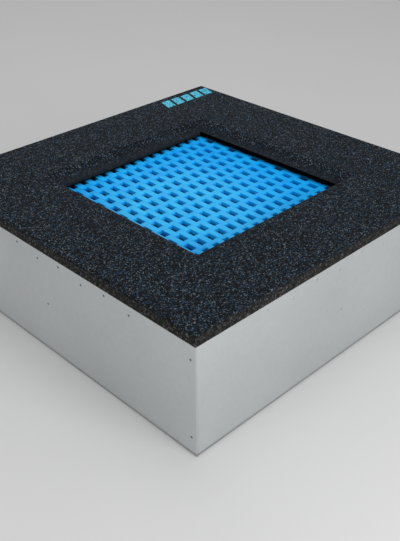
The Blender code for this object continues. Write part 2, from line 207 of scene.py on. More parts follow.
def merged_copy(node):
    """A CAD node's triangles, joined along their edges into whole flat faces."""
    build = bmesh.new()
    build.from_mesh(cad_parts[node].data)
    bmesh.ops.remove_doubles(build, verts=build.verts, dist=MERGE_DISTANCE)
    bmesh.ops.dissolve_limit(build, angle_limit=FLAT_ANGLE, verts=build.verts, edges=build.edges)
    return build


def add_piece(name, mesh, finish):
    """An object of its own for a piece, with its finish."""
    mesh.name = name
    mesh.materials.clear()
    mesh.materials.append(finish)
    piece = bpy.data.objects.new(name, mesh)
    bpy.context.scene.collection.objects.link(piece)
    return piece


def settle(piece):
    """Gives a piece the mesh that its modifiers make, and removes them."""
    graph = bpy.context.evaluated_depsgraph_get()
    mesh = bpy.data.meshes.new_from_object(piece.evaluated_get(graph))
    piece.modifiers.clear()
    piece.data = mesh
    mesh.name = piece.name
    return piece


def ease_edges(piece, width):
    """Small rounds on a piece's sharp edges, with its flats kept flat in the shading."""
    bevel = piece.modifiers.new("Edges", "BEVEL")
    bevel.width = width
    bevel.segments = EDGE_SEGMENTS
    bevel.limit_method = "ANGLE"
    bevel.angle_limit = SHARP_ANGLE
    piece.data.shade_smooth()
    piece.modifiers.new("Flats", "WEIGHTED_NORMAL").weight = FLAT_WEIGHT
    return settle(piece)


def to_mesh(build, name):
    """The mesh of a finished build."""
    mesh = bpy.data.meshes.new(name)
    build.to_mesh(mesh)
    build.free()
    return mesh


def bent_panel():
    """The front panel with its two folds rounded."""
    build = merged_copy("panel_front")
    fold_end = min(vert.co.x for vert in build.verts)

    def on_fold(edge):
        ends = [vert.co for vert in edge.verts]
        outside = all(abs(end.y + HALF_SIDE) < MERGE_DISTANCE for end in ends)
        at_foot = all(abs(end.z) < MERGE_DISTANCE for end in ends)
        at_end = all(abs(end.x - fold_end) < MERGE_DISTANCE for end in ends)
        return outside and (at_foot or at_end)

    folds = [edge for edge in build.edges if on_fold(edge)]
    bmesh.ops.bevel(
        build, geom=folds, offset=FOLD_RADIUS, segments=FOLD_STEPS, profile=0.5, affect="EDGES"
    )
    return to_mesh(build, "panel")


zinc = sheet_finish(
    "zinc_sheet",
    dark=(0.54, 0.56, 0.565),
    light=(0.60, 0.62, 0.625),
    roughness=0.5,
    grain=0.25,
)
front_panel = bent_panel()
for side, turns in SIDES.items():
    panel = add_piece("bent_panel_" + side, front_panel.copy(), zinc)
    panel.data.transform(Matrix.Rotation(turns * QUARTER_TURN, 4, "Z"))
    ease_edges(panel, CUT_EDGE)
    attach(panel, "frame")
    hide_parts("panel_" + side)


# Rivets in the panels
# Blind rivets, darker than the sheets; a painted highlight lightens those on the front. A zigzag of
# eight along each top for the rail, two at each free end for the neighbour's fold, and one near
# the middle for the post.

ORIGIN = (0.0, 0.0, 0.0)
RIVET_COUNT = 8
RIVET_PITCH = 0.100
RIVET_FIRST = -0.344
RIVET_LEVEL = 0.337
RIVET_DROP = 0.013
END_RIVET_INSET = 0.018
END_RIVET_LEVELS = (0.058, 0.308)
POST_RIVET = (-0.018, 0.179)
RIVET_SEGMENTS = 14
RIVET_CREASE = 50
RIVET_PROFILE = (
    (0.0, -0.0012),
    (0.0035, -0.0012),
    (0.0038, 0.0001),
    (0.0033, 0.0007),
    (0.0023, 0.0010),
    (0.0014, 0.0010),
    (0.0011, 0.0004),
    (0.0, 0.0004),
)


def circle(radius, segments):
    """Points round a circle."""
    turn = 2 * math.pi / segments
    return [(radius * math.cos(i * turn), radius * math.sin(i * turn)) for i in range(segments)]


def turned(profile, segments):
    """A closed round mesh from (radius, height) points that start and end on its axis."""
    build = bmesh.new()
    rings = []
    for radius, height in profile:
        if radius == 0.0:
            rings.append([build.verts.new((0, 0, height))] * segments)
        else:
            ring = circle(radius, segments)
            rings.append([build.verts.new((x, y, height)) for x, y in ring])
    for lower, upper in zip(rings, rings[1:]):
        for i in range(segments):
            j = (i + 1) % segments
            corners = list(dict.fromkeys((lower[i], lower[j], upper[j], upper[i])))
            build.faces.new(corners)
    bmesh.ops.recalc_face_normals(build, faces=build.faces)
    return to_mesh(build, "turned")


def shade_round(mesh, crease):
    """Smooth shading over every edge that turns by less than a crease, in degrees."""
    mesh.shade_smooth()
    mesh.set_sharp_from_angle(angle=math.radians(crease))


def blank_tree(name, sockets):
    """A geometry tree with named inputs, with what it is given and where its result goes."""
    tree = bpy.data.node_groups.new(name, "GeometryNodeTree")
    tree.interface.new_socket("Pattern", in_out="INPUT", socket_type="NodeSocketGeometry")
    for label, kind in sockets.items():
        tree.interface.new_socket(label, in_out="INPUT", socket_type="NodeSocket" + kind)
    tree.interface.new_socket("Result", in_out="OUTPUT", socket_type="NodeSocketGeometry")
    given = tree.nodes.new("NodeGroupInput").outputs
    result = tree.nodes.new("NodeGroupOutput").inputs["Result"]
    return tree, given, result


def grow(name, pattern, tree, values):
    """The plain mesh object that a geometry tree makes of a pattern mesh."""
    piece = bpy.data.objects.new(name, pattern)
    bpy.context.scene.collection.objects.link(piece)
    modifier = piece.modifiers.new(tree.name, "NODES")
    modifier.node_group = tree
    for socket in tree.interface.items_tree:
        if socket.in_out == "INPUT" and socket.name in values:
            modifier[socket.identifier] = values[socket.name]
    return settle(piece)


def point_row(tree, count, first, pitch):
    """Points in one straight row."""
    inputs = {"Count": count, "Start Location": first, "Offset": pitch}
    return add_node(tree, "GeometryNodeMeshLine", inputs).outputs[0]


def copies(tree, points, pattern, turn=ORIGIN):
    """A copy of a pattern at each point, turned where it stands."""
    inputs = {"Points": points, "Instance": pattern, "Rotation": turn}
    return add_node(tree, "GeometryNodeInstanceOnPoints", inputs).outputs[0]


def finish_tree(tree, instances, finish, result):
    """Ends a tree: its instances are made real and get their material."""
    real = add_node(tree, "GeometryNodeRealizeInstances", {0: instances}).outputs[0]
    inputs = {"Geometry": real, "Material": finish}
    dressed = add_node(tree, "GeometryNodeSetMaterial", inputs)
    tree.links.new(dressed.outputs[0], result)


def rivet_tree():
    """Rivets over one front panel, repeated on the four sides of the box."""
    sockets = {
        "First": "Vector",
        "Pitch": "Vector",
        "Rivets": "Int",
        "Drop": "Float",
        "End low": "Vector",
        "End rise": "Vector",
        "Post": "Vector",
        "Finish": "Material",
    }
    tree, given, result = blank_tree("rivets", sockets)
    index = tree.nodes.new("GeometryNodeInputIndex").outputs[0]
    drop = reckon(tree, "MULTIPLY", reckon(tree, "MODULO", index, 2.0), given["Drop"])
    down = add_node(tree, "ShaderNodeCombineXYZ", {"Z": drop}).outputs[0]
    row = point_row(tree, given["Rivets"], given["First"], given["Pitch"])
    zigzag = add_node(tree, "GeometryNodeSetPosition", {"Geometry": row, "Offset": down}).outputs[0]
    pair = point_row(tree, len(END_RIVET_LEVELS), given["End low"], given["End rise"])
    single = point_row(tree, 1, given["Post"], ORIGIN)
    places = tree.nodes.new("GeometryNodeJoinGeometry")
    for points in (zigzag, pair, single):
        tree.links.new(points, places.inputs[0])
    side = copies(tree, places.outputs[0], given["Pattern"], (QUARTER_TURN, 0, 0))
    angle = reckon(tree, "MULTIPLY", index, QUARTER_TURN)
    about = add_node(tree, "ShaderNodeCombineXYZ", {"Z": angle}).outputs[0]
    box = copies(tree, point_row(tree, len(SIDES), ORIGIN, ORIGIN), side, about)
    finish_tree(tree, box, given["Finish"], result)
    return tree


rivet_grey = sheet_finish(
    "rivet_zinc",
    dark=(0.15, 0.155, 0.16),
    light=(0.19, 0.195, 0.20),
    roughness=0.28,
    grain=0.1,
    # The rivets on the front side are lightened 2.5 times, as painted highlight.
    front=2.5,
)
rivet_values = {
    "First": (RIVET_FIRST, -HALF_SIDE, RIVET_LEVEL),
    "Pitch": (RIVET_PITCH, 0.0, 0.0),
    "Rivets": RIVET_COUNT,
    "Drop": -RIVET_DROP,
    "End low": (HALF_SIDE - END_RIVET_INSET, -HALF_SIDE, END_RIVET_LEVELS[0]),
    "End rise": (0.0, 0.0, END_RIVET_LEVELS[1] - END_RIVET_LEVELS[0]),
    "Post": (POST_RIVET[0], -HALF_SIDE, POST_RIVET[1]),
    "Finish": rivet_grey,
}
rivets = grow("rivets", turned(RIVET_PROFILE, RIVET_SEGMENTS), rivet_tree(), rivet_values)
shade_round(rivets.data, RIVET_CREASE)
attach(rivets, "frame")


# Frame under the surround
# Galvanised steel, cut and welded: rails of 35 mm square tube with a punched strip, posts of
# channel, gussets under the corners, and ribbed deck plates. All cut edges are slightly eased.

STEEL_EDGE = 0.0005

galvanised = sheet_finish(
    "galvanised_steel",
    dark=(0.36, 0.37, 0.375),
    light=(0.50, 0.51, 0.515),
    roughness=0.42,
    grain=0.15,
)
corners = ("front_left", "front_right", "back_right", "back_left")
steel_nodes = [kind + "_" + side for kind in ("rail", "post", "deck") for side in SIDES]
steel_nodes += ["gusset_" + corner for corner in corners]
for node in steel_nodes:
    steel_mesh = to_mesh(merged_copy(node), node)
    steel = ease_edges(add_piece("steel_" + node, steel_mesh, galvanised), STEEL_EDGE)
    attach(steel, "frame")
    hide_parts(node)


# Rubber base
# The thick lower layer of the surround: coarse grey-black crumb, pressed and cut, so its outer
# face is pitted. It lies on the deck plates, and the wear layer covers the rest of it.

GAP = 0.0003
RUBBER_TOP = cad_high.z
WEAR_LAYER = 0.010
OPENING = 0.3126
DISH_DEPTH = 0.0345
LIP_LEVEL = RUBBER_TOP - DISH_DEPTH
BASE_STEPS = 300
BASE_SEED = 11
OVERHANG = 0.0008
UNDERSIDE_RETURN = 0.02
FOOT_RADIUS = 0.0006
CRUMB = 0.004
CRUMB_DEPTH = 0.0011
CRUMB_CREASE = 60
EDGE_SINK = 0.3
CRUMB_SHINE = 0.12
CRUMB_GLOSSIER = 0.12
CRUMB_DULLER = 0.10
CRUMB_SHADES = (0.7, 1.3)
CRUMB_WOBBLE = 0.7
CRUMB_GRIT = 3.0
NOISE_MIDDLE = (0.5, 0.5, 0.5)
# Share of the colour left on the left and right lips below the lip, as painted shade.
LIP_PAINTED_SHADE = 0.015
FINE_SHARE = 0.75
FINE_RUBBER = (0.016, 0.019, 0.023)


def rounded_outline(outline_corners, steps=4):
    """An outline from (across, up, radius) corners, with an arc of that radius at each."""
    points = []
    for i, (across, up, radius) in enumerate(outline_corners):
        here = Vector((across, up))
        if not radius:
            points.append(here)
            continue
        back = (Vector(outline_corners[i - 1][:2]) - here).normalized()
        on = (Vector(outline_corners[(i + 1) % len(outline_corners)][:2]) - here).normalized()
        half = back.angle(on) / 2
        middle = here + (back + on).normalized() * (radius / math.sin(half))
        start = here + back * (radius / math.tan(half)) - middle
        end = here + on * (radius / math.tan(half)) - middle
        arc = start.angle(end)
        for step in range(steps + 1):
            share = step / steps
            spoke = start * math.sin((1 - share) * arc) + end * math.sin(share * arc)
            points.append(middle + spoke / math.sin(arc))
    return points


def stepped(points, pitch):
    """The same open outline, with a point at least every pitch along it."""
    fine = [points[0]]
    for first, second in zip(points, points[1:]):
        count = max(1, math.ceil((second - first).length / pitch))
        fine += [first.lerp(second, step / count) for step in range(1, count + 1)]
    return fine


def square_ring(section, steps):
    """A closed square ring of a section, in (distance out, level), with steps along each side."""
    ring_corners = [Vector((-1, -1)), Vector((1, -1)), Vector((1, 1)), Vector((-1, 1))]
    around = []
    for i, corner in enumerate(ring_corners):
        following = ring_corners[(i + 1) % len(ring_corners)]
        around += [corner.lerp(following, step / steps) for step in range(steps)]
    points = [(spot.x * out, spot.y * out, level) for out, level in section for spot in around]
    count = len(around)
    faces = []
    for row in range(len(section)):
        here = row * count
        there = (row + 1) % len(section) * count
        for i in range(count):
            j = (i + 1) % count
            faces.append((here + i, there + i, there + j, here + j))
    mesh = bpy.data.meshes.new("ring")
    mesh.from_pydata(points, [], faces)
    build = bmesh.new()
    build.from_mesh(mesh)
    bmesh.ops.recalc_face_normals(build, faces=build.faces)
    build.to_mesh(mesh)
    build.free()
    return mesh


def roughen(mesh, rows, count, depth, seed):
    """Sinks a ring's first rows by random parts of a depth, square to its face.

    The very first row, of count points, sinks evenly.
    """
    total = len(mesh.vertices)
    points = np.zeros(total * 3)
    normals = np.zeros(total * 3)
    mesh.vertices.foreach_get("co", points)
    mesh.vertices.foreach_get("normal", normals)
    points = points.reshape(-1, 3)
    normals = normals.reshape(-1, 3)
    share = np.random.default_rng(seed).random(total)
    share[:count] = EDGE_SINK
    share[rows * count:] = 0.0
    points -= normals * (share * depth)[:, None]
    mesh.vertices.foreach_set("co", points.ravel())
    mesh.update()


def dish_tones(tree, place, tint, shade, size, dish):
    """A crumb's tint, shade and shine where it turns down a dish.

    Fewer flecks show down to the lip. Below it the left and right lips are darkened as painted
    shade.
    """
    lip, rim = dish
    across, along, level = add_node(tree, "ShaderNodeSeparateXYZ", {0: place}).outputs
    fine_share = value_range(tree, level, lip, rim, FINE_SHARE, 0.0)
    inputs = {"Factor": fine_share, "A": tint, "B": (*FINE_RUBBER, 1.0)}
    tint = add_node(tree, "ShaderNodeMix", inputs, data_type="RGBA").outputs["Result"]
    # Painted shade: below the lip, on the lips that face left and right, the colour falls almost to
    # black and the shine to a quarter.
    out = reckon(tree, "ABSOLUTE", across)
    ahead = reckon(tree, "SUBTRACT", reckon(tree, "ABSOLUTE", along), out)
    facing = value_range(tree, ahead, -size, size, 0.0, 1.0)
    above = value_range(tree, level, lip - size / 4, lip, 0.0, 1.0)
    unshaded_share = reckon(tree, "MAXIMUM", facing, above)
    shade = reckon(tree, "MULTIPLY", shade, value_range(tree, unshaded_share, 0.0, 1.0, LIP_PAINTED_SHADE, 1.0))
    shine = value_range(tree, unshaded_share, 0.0, 1.0, CRUMB_SHINE / 4, CRUMB_SHINE)
    return tint, shade, shine


def crumb_finish(name, granules, size, dome, roughness, dish=()):
    """Bonded rubber granules: each cell takes one of the (share, colour) granules and stands up.

    A dish, where the rubber has one, is its (lip, rim) levels.
    """
    finish, tree, shader, place = blank_finish(name)
    wobble = noise(tree, place, scale=CRUMB_WOBBLE / size, detail=2.0, output="Color")
    centred = reckon_vector(tree, "SUBTRACT", wobble, NOISE_MIDDLE)
    moved = reckon_vector(tree, "MULTIPLY_ADD", centred, (size, size, size), place)
    dice, distance = random_cells(tree, moved, scale=1.0 / size)
    stops = []
    reached = 0.0
    for share, colour in granules:
        stops.append((reached, colour))
        reached += share
    tint = colour_ramp(tree, dice[0], stops, "CONSTANT")
    shade = value_range(tree, dice[1], 0.0, 1.0, *CRUMB_SHADES)
    shine = CRUMB_SHINE
    if dish:
        tint, shade, shine = dish_tones(tree, place, tint, shade, size, dish)
    fine = noise(tree, place, scale=CRUMB_GRIT / size, detail=3.0)
    height = reckon(tree, "MULTIPLY_ADD", distance, -1.0, fine)
    low = roughness - CRUMB_GLOSSIER
    high = roughness + CRUMB_DULLER
    inputs = {
        "Base Color": reckon_vector(tree, "MULTIPLY", tint, shade),
        "Roughness": value_range(tree, dice[2], 0.0, 1.0, low, high),
        "Specular IOR Level": shine,
        "Normal": relief(tree, height, dome, size / 4),
    }
    set_inputs(tree, shader, inputs)
    return finish


BASE_GRANULES = (
    (0.46, (0.008, 0.008, 0.008)),
    (0.28, (0.019, 0.0185, 0.018)),
    (0.16, (0.034, 0.033, 0.032)),
    (0.10, (0.072, 0.071, 0.069)),
)
base_low, base_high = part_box("rubber_base")
base_top = base_high.z
slope_start = OPENING + (WEAR_LAYER + GAP) * math.sqrt(2)
base_face = HALF_SIDE + OVERHANG
face = rounded_outline(
    [
        (HALF_SIDE - UNDERSIDE_RETURN, base_low.z, 0),
        (base_face, base_low.z, FOOT_RADIUS),
        (base_face, base_top, 0),
    ]
)
face = stepped(face[1:], CRUMB)
hidden = [
    Vector((slope_start + base_top - LIP_LEVEL, base_top)),
    Vector((slope_start + base_low.z - LIP_LEVEL, base_low.z)),
]
base_mesh = square_ring(face + hidden, BASE_STEPS)
roughen(base_mesh, len(face), len(SIDES) * BASE_STEPS, CRUMB_DEPTH, BASE_SEED)
shade_round(base_mesh, CRUMB_CREASE)
base_crumb = crumb_finish("base_crumb", BASE_GRANULES, size=0.0042, dome=0.8, roughness=0.8)
base_rubber = add_piece("crumb_base", base_mesh, base_crumb)
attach(base_rubber, "frame")
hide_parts("rubber_base")


# Rubber wear layer
# Fine black granules with blue, grey-blue and pale flecks, bonded over the base. It runs flat from
# the panels, turns down at 45 degrees to a lip, and its hem hangs from there to just above the mat.

WEAR_STEPS = 250
WEAR_SEED = 23
GRANULE = 0.004
GRANULE_DEPTH = 0.0005
OUTER_EDGE_RADIUS = 0.002
DISH_EDGE_RADIUS = 0.028
LIP_RADIUS = 0.002
HEM_WIDTH = 0.008

WEAR_GRANULES = (
    (0.56, (0.0012, 0.0017, 0.0024)),
    (0.20, (0.0040, 0.0054, 0.0072)),
    (0.10, (0.017, 0.051, 0.100)),
    (0.08, (0.036, 0.050, 0.068)),
    (0.06, (0.117, 0.143, 0.162)),
)
wear_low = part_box("rubber_wear_layer")[0]
under = RUBBER_TOP - WEAR_LAYER + GAP
slant = WEAR_LAYER * math.sqrt(2)
surface = rounded_outline(
    [
        (HALF_SIDE, under, 0),
        (HALF_SIDE, RUBBER_TOP, OUTER_EDGE_RADIUS),
        (OPENING + DISH_DEPTH, RUBBER_TOP, DISH_EDGE_RADIUS),
        (OPENING, LIP_LEVEL, LIP_RADIUS),
        (OPENING, wear_low.z, 0),
    ]
)
surface = stepped(surface, GRANULE)
hidden = [
    Vector((OPENING + HEM_WIDTH, wear_low.z)),
    Vector((OPENING + HEM_WIDTH, base_low.z)),
    Vector((OPENING + slant + base_low.z - LIP_LEVEL, base_low.z)),
    Vector((OPENING + slant + under - LIP_LEVEL, under)),
]
wear_mesh = square_ring(surface + hidden, WEAR_STEPS)
roughen(wear_mesh, len(surface) - 1, len(SIDES) * WEAR_STEPS, GRANULE_DEPTH, WEAR_SEED)
shade_round(wear_mesh, CRUMB_CREASE)
# The lip level also sets where the painted shade on the left and right lips starts.
wear_dish = (LIP_LEVEL + LIP_RADIUS, RUBBER_TOP)
wear_crumb = crumb_finish(
    "wear_crumb", WEAR_GRANULES, size=0.0028, dome=0.8, roughness=0.78, dish=wear_dish
)
wear_rubber = add_piece("crumb_wear_layer", wear_mesh, wear_crumb)
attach(wear_rubber, "frame")
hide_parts("rubber_wear_layer")


# Inlay in the surround
# A plain row of slanted bars in light blue granules, set flush into the wear layer at its back
# right corner. The bars are cut through the layer's top and bonded in.

BAR_COUNT = 5
BAR_WIDTH = 0.038
BAR_PITCH = 0.050
BAR_HEIGHT = 0.058
BAR_SLANT = 0.018
BAR_DEPTH = 0.003
INLAY_CENTRE = (0.466, 0.541)
INLAY_GRANULES = (
    (0.46, (0.105, 0.560, 0.760)),
    (0.28, (0.150, 0.650, 0.840)),
    (0.26, (0.002, 0.130, 0.270)),
)


def slab(points, reach):
    """A closed build from an outline's points, drawn out by a reach."""
    build = bmesh.new()
    start = build.faces.new([build.verts.new(point) for point in points])
    grown = bmesh.ops.extrude_face_region(build, geom=[start])["geom"]
    ends = [part for part in grown if isinstance(part, bmesh.types.BMVert)]
    bmesh.ops.translate(build, verts=ends, vec=reach)
    return build


def slanted_bar():
    """One bar of the inlay, leaning to the right."""
    half = BAR_WIDTH / 2
    lean = BAR_SLANT / 2
    up = BAR_HEIGHT / 2
    outline = [(-half - lean, -up), (half - lean, -up), (half + lean, up), (-half + lean, up)]
    build = slab([(x, y, -BAR_DEPTH) for x, y in outline], (0, 0, BAR_DEPTH))
    bmesh.ops.recalc_face_normals(build, faces=build.faces)
    return to_mesh(build, "bar")


def row_tree(name):
    """Copies of a pattern in one straight row."""
    sockets = {"Copies": "Int", "First": "Vector", "Pitch": "Vector", "Finish": "Material"}
    tree, given, result = blank_tree(name, sockets)
    points = point_row(tree, given["Copies"], given["First"], given["Pitch"])
    finish_tree(tree, copies(tree, points, given["Pattern"]), given["Finish"], result)
    return tree


first_bar = INLAY_CENTRE[0] - BAR_PITCH * (BAR_COUNT - 1) / 2
inlay_crumb = crumb_finish("inlay_crumb", INLAY_GRANULES, size=0.0030, dome=0.6, roughness=0.75)
inlay_values = {
    "Copies": BAR_COUNT,
    "First": (first_bar, INLAY_CENTRE[1], RUBBER_TOP),
    "Pitch": (BAR_PITCH, 0.0, 0.0),
    "Finish": inlay_crumb,
}
inlay = grow("inlay_bars", slanted_bar(), row_tree("inlay_row"), inlay_values)
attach(inlay, "frame")


# Links of the mat
# Moulded blue links, 14 mm thick. Each row's links hinge on the rod before them and carry the next
# rod, and rows take turns in the columns, so a link's ends stand between its neighbours' ends.

COLUMN_PITCH = 0.0213
ROW_PITCH = 0.055
OUTER_COLUMN = 15
ROWS_EACH_WAY = 6
LINK_OVERHANG = 0.0105
END_OVERHANG = 0.008
LINK_THICKNESS = 0.014
MAT_DEPTH = 0.048
MAT_SHIFT = 0.005
MAT_TOP = RUBBER_TOP - MAT_DEPTH
ROD_LEVEL = MAT_TOP - LINK_THICKNESS / 2
LINK_TOP_RADIUS = 0.004
LINK_FOOT_RADIUS = 0.004
LINK_STEPS = 3
LINK_EDGE = 0.0006
LINK_CREASE = 40
NOISE_LOW = 0.3
NOISE_HIGH = 0.7
DEEP_BLUE = (0.006, 0.430, 0.960)
BRIGHT_BLUE = (0.012, 0.500, 1.000)
MAT_GLOSS = (0.38, 0.50)
# Painted shadow of the lips on the mat: its reach in from the opening, and the share left at the
# opening.
PAINTED_SHADOW_REACH = 0.022
PAINTED_SHADOW_DEPTH = 0.05
# Specular level, falling off from the same centre as the painted highlight.
SHEEN = (0.30, 0.08)
# Painted highlight: (distance from this centre, tint) stops, lighter near it and a deeper blue
# farther out.
HIGHLIGHT_CENTRE = (-0.12, -0.04)
PAINTED_HIGHLIGHT_TINTS = (
    (0.15, (1.35, 1.05, 1.00)),
    (0.26, (0.72, 0.96, 1.00)),
    (0.38, (0.42, 0.87, 0.97)),
)
# Painted shade on the link walls: (depth below the mat's top, tint) stops.
PAINTED_WALL_SHADE = (
    (0.0140, (0.50, 0.80, 1.00)),
    (0.0085, (0.60, 0.86, 1.00)),
    (0.0070, (0.80, 1.00, 1.00)),
    (0.0012, (0.80, 0.85, 0.95)),
    (0.0004, (1.00, 1.00, 1.00)),
)


def rod_place(number):
    """Where a rod of the mat lies along Y."""
    return number * ROW_PITCH + MAT_SHIFT


def half_name(number):
    """The half of the mat that a row or a rod is in, from its number."""
    return "front" if number < 0 else "back"


def mat_body(number):
    """The body that carries a row and its outer rod, or the middle rod."""
    return f"mat_row_{half_name(number)}_{abs(number)}" if number else "mat_middle"


def link_mesh(front_overhang, back_overhang):
    """A link along Y with its middle at the origin, round at its ends and eased along it."""
    front = -ROW_PITCH / 2 - front_overhang
    back = ROW_PITCH / 2 + back_overhang
    half = LINK_THICKNESS / 2
    outline = rounded_outline(
        [
            (front, -half, LINK_FOOT_RADIUS),
            (back, -half, LINK_FOOT_RADIUS),
            (back, half, LINK_TOP_RADIUS),
            (front, half, LINK_TOP_RADIUS),
        ],
        LINK_STEPS,
    )
    width = COLUMN_PITCH - GAP
    build = slab([(-width / 2, y, z) for y, z in outline], (width, 0, 0))
    rims = [edge for edge in build.edges if abs(edge.verts[0].co.x - edge.verts[1].co.x) < GAP]
    bmesh.ops.bevel(build, geom=rims, offset=LINK_EDGE, segments=1, profile=0.5, affect="EDGES")
    bmesh.ops.recalc_face_normals(build, faces=build.faces)
    mesh = to_mesh(build, "link")
    shade_round(mesh, LINK_CREASE)
    return mesh


def plastic_finish():
    """Moulded polyamide: blue with flow marks and a fine grain, with painted shadow beside the
    lips.

    The link walls darken with depth below the mat's top, as painted shade, and the blue is lighter
    near a centre and deeper farther out, as painted highlight and shade.
    """
    finish, tree, shader, place = blank_finish("mat_blue")
    flow = noise(tree, place, scale=14.0, detail=3.0)
    toned = colour_ramp(tree, flow, [(NOISE_LOW, DEEP_BLUE), (NOISE_HIGH, BRIGHT_BLUE)])
    across, along, level = add_node(tree, "ShaderNodeSeparateXYZ", {0: place}).outputs
    # Painted shade: the link walls darken with depth below the mat's top.
    height = value_range(tree, level, MAT_TOP - LINK_THICKNESS, MAT_TOP, 0.0, 1.0)
    stops = [(1.0 - depth / LINK_THICKNESS, tint) for depth, tint in PAINTED_WALL_SHADE]
    painted_depth_shade = colour_ramp(tree, height, stops)
    # Painted highlight and shade: the blue is lighter near a centre on the mat and deeper farther
    # out.
    away = reckon_vector(tree, "DISTANCE", place, (*HIGHLIGHT_CENTRE, MAT_TOP), output="Value")
    painted_highlight = colour_ramp(tree, away, PAINTED_HIGHLIGHT_TINTS)
    # Painted shadow: the blue darkens within the reach of the opening's edge, on all four sides.
    out = reckon(
        tree, "MAXIMUM", reckon(tree, "ABSOLUTE", across), reckon(tree, "ABSOLUTE", along)
    )
    lip_shadow = value_range(tree, out, OPENING - PAINTED_SHADOW_REACH, OPENING, 1.0, PAINTED_SHADOW_DEPTH)
    for tone in (painted_depth_shade, painted_highlight, lip_shadow):
        toned = reckon_vector(tree, "MULTIPLY", toned, tone)
    grain = noise(tree, place, scale=900.0, detail=2.0)
    inputs = {
        "Base Color": toned,
        "Specular IOR Level": value_range(
            tree, away, PAINTED_HIGHLIGHT_TINTS[0][0], PAINTED_HIGHLIGHT_TINTS[-1][0], *SHEEN
        ),
        "Roughness": value_range(tree, grain, NOISE_LOW, NOISE_HIGH, *MAT_GLOSS),
        "Normal": relief(tree, grain, strength=0.15, distance=0.0004),
    }
    set_inputs(tree, shader, inputs)
    return finish


mat_blue = plastic_finish()
link_rows = row_tree("link_row")
row_numbers = [*range(-1, -ROWS_EACH_WAY - 1, -1), *range(1, ROWS_EACH_WAY + 1)]
for number in row_numbers:
    outwards = 1 if number > 0 else -1
    parity = number % 2 if number > 0 else (number + 1) % 2
    columns = [c for c in range(-OUTER_COLUMN, OUTER_COLUMN + 1) if c % 2 == parity]
    row_name = mat_body(number)
    front_overhang = END_OVERHANG if number == -ROWS_EACH_WAY else LINK_OVERHANG
    back_overhang = END_OVERHANG if number == ROWS_EACH_WAY else LINK_OVERHANG
    link_values = {
        "Copies": len(columns),
        "First": (columns[0] * COLUMN_PITCH, rod_place(number - outwards / 2), ROD_LEVEL),
        "Pitch": (2 * COLUMN_PITCH, 0.0, 0.0),
        "Finish": mat_blue,
    }
    links = grow(
        f"links_{half_name(number)}_{abs(number)}",
        link_mesh(front_overhang, back_overhang),
        link_rows,
        link_values,
    )
    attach(links, row_name)
    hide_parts(row_name)


# Rods through the links
# Bright steel rods, 8 mm thick, from left to right. Every second one ends in flat eyes for the
# springs, others in collars that keep the last link on, and some are cut flush with the mat.

ROD_RADIUS = 0.004
ROD_EASE = ROD_RADIUS / 8
ROD_SEGMENTS = 12
ROD_CREASE = 35
STEEL_GLOSS_SPREAD = 0.06
MAT_HALF = (OUTER_COLUMN + 0.5) * COLUMN_PITCH
EYE_START = MAT_HALF + GAP
EYE_WIDTH = 0.018
EYE_THICKNESS = 0.010
EYE_HOLE_RADIUS = 0.004
EYE_ROOT = 0.004
EYE_ROOT_CORNER = 0.001
EYE_BAR = 0.008
EYE_LENGTH = EYE_ROOT + 2 * EYE_HOLE_RADIUS + EYE_BAR
EYE_CORNER = 0.006
EYE_EDGE = 0.0008
COLLAR_RADIUS = 0.007
COLLAR_LENGTH = 0.004
COLLAR_EDGE = 0.0006


def along_x(mesh, hand, start, y):
    """Turns a mesh's own Z to the left or the right and puts its start on a rod's end."""
    turn = Matrix.Rotation(hand * QUARTER_TURN, 4, "Y")
    mesh.transform(Matrix.Translation((hand * start, y, ROD_LEVEL)) @ turn)
    return mesh


def eye_mesh(hand, y):
    """A flat eye with a round hole, from the end of a rod outwards."""
    half = EYE_WIDTH / 2
    outline = rounded_outline(
        [
            (0, -half, EYE_ROOT_CORNER),
            (EYE_LENGTH, -half, EYE_CORNER),
            (EYE_LENGTH, half, EYE_CORNER),
            (0, half, EYE_ROOT_CORNER),
        ]
    )
    middle = EYE_ROOT + EYE_HOLE_RADIUS
    hole_rim = circle(EYE_HOLE_RADIUS, 2 * ROD_SEGMENTS)
    hole = [(middle + across, up) for across, up in hole_rim]
    curve = bpy.data.curves.new("eye", "CURVE")
    curve.dimensions = "2D"
    curve.fill_mode = "BOTH"
    curve.extrude = EYE_THICKNESS / 2 - EYE_EDGE
    curve.bevel_depth = EYE_EDGE
    curve.bevel_resolution = 1
    curve.offset = -EYE_EDGE
    for loop in (outline, hole):
        spline = curve.splines.new("POLY")
        spline.points.add(len(loop) - 1)
        spline.use_cyclic_u = True
        for point, (across, up) in zip(spline.points, loop):
            point.co = (across, up, 0, 1)
    holder = bpy.data.objects.new("eye", curve)
    bpy.context.scene.collection.objects.link(holder)
    graph = bpy.context.evaluated_depsgraph_get()
    mesh = bpy.data.meshes.new_from_object(holder.evaluated_get(graph))
    bpy.data.objects.remove(holder)
    turn_out = Matrix.Rotation(0 if hand > 0 else math.pi, 4, "Z")
    mesh.transform(Matrix.Translation((hand * EYE_START, y, ROD_LEVEL)) @ turn_out)
    return mesh


def collar_mesh(hand, y):
    """A pressed collar at a rod's end."""
    profile = (
        (0.0, 0.0),
        (COLLAR_RADIUS - COLLAR_EDGE, 0.0),
        (COLLAR_RADIUS, COLLAR_EDGE),
        (COLLAR_RADIUS, COLLAR_LENGTH - COLLAR_EDGE),
        (COLLAR_RADIUS - COLLAR_EDGE, COLLAR_LENGTH),
        (0.0, COLLAR_LENGTH),
    )
    return along_x(turned(profile, 2 * ROD_SEGMENTS), hand, EYE_START, y)


